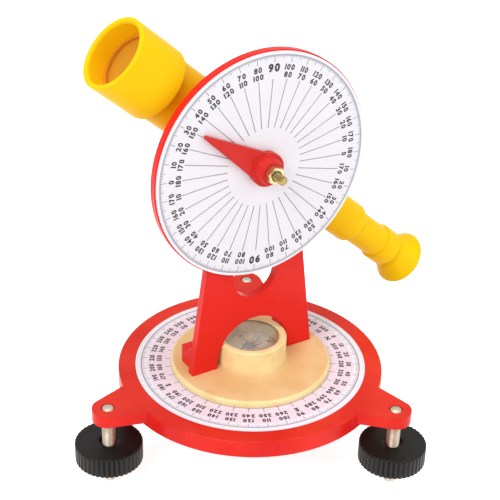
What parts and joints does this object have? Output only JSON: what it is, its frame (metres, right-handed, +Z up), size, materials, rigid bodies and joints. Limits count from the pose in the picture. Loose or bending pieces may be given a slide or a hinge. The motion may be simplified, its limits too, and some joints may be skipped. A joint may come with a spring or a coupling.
{
  "type": "school theodolite",
  "caption": "Tabletop school theodolite: sighting telescope with pointer on a vertical degree circle, turning over a horizontal circle and compass on a levelling base.",
  "frame": {"origin": "on the base's axis, at the level of the three levelling screws' tips, which is the surface it stands on", "axes": "+Z up along the azimuth axis; one of the three base lugs points along +Y; at rest the vertical circle faces -Y turned 29.7 degrees towards +X"},
  "size_m": [0.1673, 0.1519, 0.21],
  "materials": {
    "red_plastic": "moulded, glossy red",
    "cream_plastic": "moulded, satin cream",
    "printed_circle": "printed white sheet",
    "yellow_plastic": "moulded, satin yellow",
    "black_plastic": "moulded, satin black",
    "steel": "plated steel",
    "brass": "turned brass",
    "clear_glass": "clear, polished",
    "needle_blue": "blued steel",
    "compass_card": "printed pale card"
  },
  "bodies": {
    "base": {"base_plate": "red_plastic", "horizontal_circle": "printed_circle"},
    "turntable": {"turntable": "cream_plastic", "centre_bolt": "steel", "centre_washer": "steel", "centre_nut": "steel", "compass_card": "compass_card", "compass_pivot": "steel", "compass_glass": "clear_glass", "compass_bezel": "cream_plastic", "upright": "red_plastic", "upright_screws": "steel", "circle_backing": "red_plastic", "vertical_circle": "printed_circle", "circle_screws": "steel"},
    "needle": {"compass_needle": "needle_blue"},
    "telescope": {"telescope_barrel": "yellow_plastic", "objective_hood": "yellow_plastic", "objective_lens": "clear_glass", "objective_ring": "yellow_plastic", "spindle": "brass", "spindle_nut": "brass", "friction_washer": "black_plastic", "pointer": "red_plastic"},
    "eyepiece": {"draw_tube": "yellow_plastic", "crosshair_glass": "clear_glass", "eyepiece_lens": "clear_glass", "eyecup": "yellow_plastic"},
    "screw_back": {"levelling_screw_back": "steel"},
    "knob_back": {"levelling_knob_back": "black_plastic"},
    "screw_left": {"levelling_screw_left": "steel"},
    "knob_left": {"levelling_knob_left": "black_plastic"},
    "screw_right": {"levelling_screw_right": "steel"},
    "knob_right": {"levelling_knob_right": "black_plastic"}
  },
  "joints": [
    {"name": "azimuth_turn", "type": "hinge", "parent": "base", "child": "turntable", "pos_m": [0, 0, 0.04], "axis": [0, 0, 1], "continuous": true},
    {"name": "needle_swing", "type": "hinge", "parent": "turntable", "child": "needle", "pos_m": [0, 0, 0.051], "axis": [0, 0, 1], "continuous": true},
    {"name": "elevation_tilt", "type": "hinge", "parent": "turntable", "child": "telescope", "pos_m": [0, 0, 0.1445], "axis": [-0.4955, 0.8686, 0], "range_deg": [-264, 3.3]},
    {"name": "focus_slide", "type": "slide", "parent": "telescope", "child": "eyepiece", "axis": [-0.6516, -0.3716, 0.6613], "range_m": [-0.018, 0.008]},
    {"name": "level_travel_back", "type": "slide", "parent": "base", "child": "screw_back", "axis": [0, 0, 1], "range_m": [-0.005, 0.009]},
    {"name": "level_turn_back", "type": "hinge", "parent": "screw_back", "child": "knob_back", "pos_m": [0, 0.0745, 0.017], "axis": [0, 0, 1], "range_deg": [-1801, 3241]},
    {"name": "level_travel_left", "type": "slide", "parent": "base", "child": "screw_left", "axis": [0, 0, 1], "range_m": [-0.005, 0.009]},
    {"name": "level_turn_left", "type": "hinge", "parent": "screw_left", "child": "knob_left", "pos_m": [-0.06452, -0.03725, 0.017], "axis": [0, 0, 1], "range_deg": [-1801, 3241]},
    {"name": "level_travel_right", "type": "slide", "parent": "base", "child": "screw_right", "axis": [0, 0, 1], "range_m": [-0.005, 0.009]},
    {"name": "level_turn_right", "type": "hinge", "parent": "screw_right", "child": "knob_right", "pos_m": [0.06452, -0.03725, 0.017], "axis": [0, 0, 1], "range_deg": [-1801, 3241]}
  ],
  "couplings": [
    {"joint": "level_turn_back", "follows": "level_travel_back", "rad_per_m": 6283.2},
    {"joint": "level_turn_left", "follows": "level_travel_left", "rad_per_m": 6283.2},
    {"joint": "level_turn_right", "follows": "level_travel_right", "rad_per_m": 6283.2}
  ]
}
